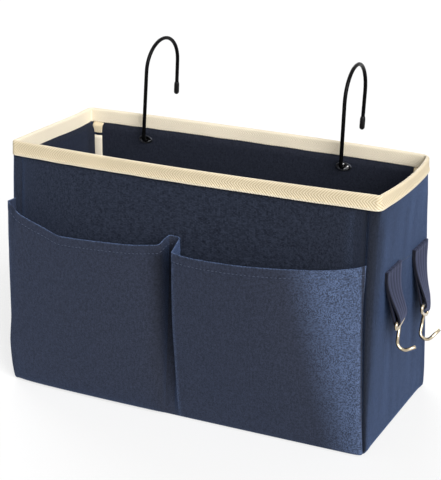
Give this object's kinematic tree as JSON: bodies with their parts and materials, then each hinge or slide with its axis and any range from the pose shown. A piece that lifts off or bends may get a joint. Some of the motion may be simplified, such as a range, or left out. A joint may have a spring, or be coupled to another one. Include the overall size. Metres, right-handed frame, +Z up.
{
  "type": "bedside caddy",
  "caption": "Stiffened canvas bedside caddy with front pockets and webbing hook loops, hung from a bed rail on wire hooks.",
  "frame": {"origin": "middle of the underside of the base, on the surface the caddy stands on", "axes": "+X to the right of someone facing the pockets, +Y towards the bed, +Z up"},
  "size_m": [0.3595, 0.2001, 0.2847],
  "materials": {
    "canvas": "plain-weave navy cotton canvas, matt",
    "lining": "dark navy lining cloth, matt",
    "board": "grey stiffener board",
    "tape": "cream cotton herringbone tape",
    "wire": "gloss black coated steel wire",
    "cap": "black dipped vinyl tip",
    "eyelet": "dark gunmetal plated steel",
    "webbing": "charcoal ribbed webbing",
    "strap_hook": "polished pale gold plated wire"
  },
  "bodies": {
    "caddy": {"front_canvas": "canvas", "front_board": "board", "front_lining": "lining", "back_canvas": "canvas", "back_board": "board", "back_lining": "lining", "left_canvas": "canvas", "left_board": "board", "left_lining": "lining", "right_canvas": "canvas", "right_board": "board", "right_lining": "lining", "base_canvas": "canvas", "base_board": "board", "base_lining": "lining", "pocket_strip": "canvas", "rim_binding": "tape", "corner_binding_front_left": "tape", "corner_binding_front_right": "tape", "corner_binding_back_left": "tape", "corner_binding_back_right": "tape", "eyelet_left": "eyelet", "eyelet_washer_left": "eyelet", "eyelet_right": "eyelet", "eyelet_washer_right": "eyelet"},
    "hanger_left": {"hanger_hook_left": "wire", "hook_cap_left": "cap"},
    "hanger_right": {"hanger_hook_right": "wire", "hook_cap_right": "cap"},
    "strap_front": {"strap_front": "webbing"},
    "strap_hook_front": {"strap_hook_front": "strap_hook"},
    "strap_rear": {"strap_rear": "webbing"},
    "strap_hook_rear": {"strap_hook_rear": "strap_hook"}
  },
  "joints": [
    {"name": "hanger_left_swing", "type": "hinge", "parent": "caddy", "child": "hanger_left", "pos_m": [-0.103, 0.05819, 0.19374], "axis": [0, 1, 0], "range_deg": [-60, 52]},
    {"name": "hanger_right_swing", "type": "hinge", "parent": "caddy", "child": "hanger_right", "pos_m": [0.09, 0.05819, 0.19374], "axis": [0, 1, 0], "range_deg": [-57, 54]},
    {"name": "strap_front_swing", "type": "hinge", "parent": "caddy", "child": "strap_front", "pos_m": [0.1677, -0.027, 0.1456], "axis": [0, -1, 0], "range_deg": [0, 85]},
    {"name": "strap_rear_swing", "type": "hinge", "parent": "caddy", "child": "strap_rear", "pos_m": [0.1677, 0.039, 0.1423], "axis": [0, -1, 0], "range_deg": [0, 85]},
    {"name": "strap_hook_front_swing", "type": "hinge", "parent": "strap_front", "child": "strap_hook_front", "pos_m": [0.1752, -0.027, 0.1041], "axis": [0.1715, -0.9727, 0.1564], "range_deg": [-5, 80]},
    {"name": "strap_hook_rear_swing", "type": "hinge", "parent": "strap_rear", "child": "strap_hook_rear", "pos_m": [0.1752, 0.039, 0.0883], "axis": [0.1561, -0.8851, 0.4384], "range_deg": [-5, 80]}
  ]
}
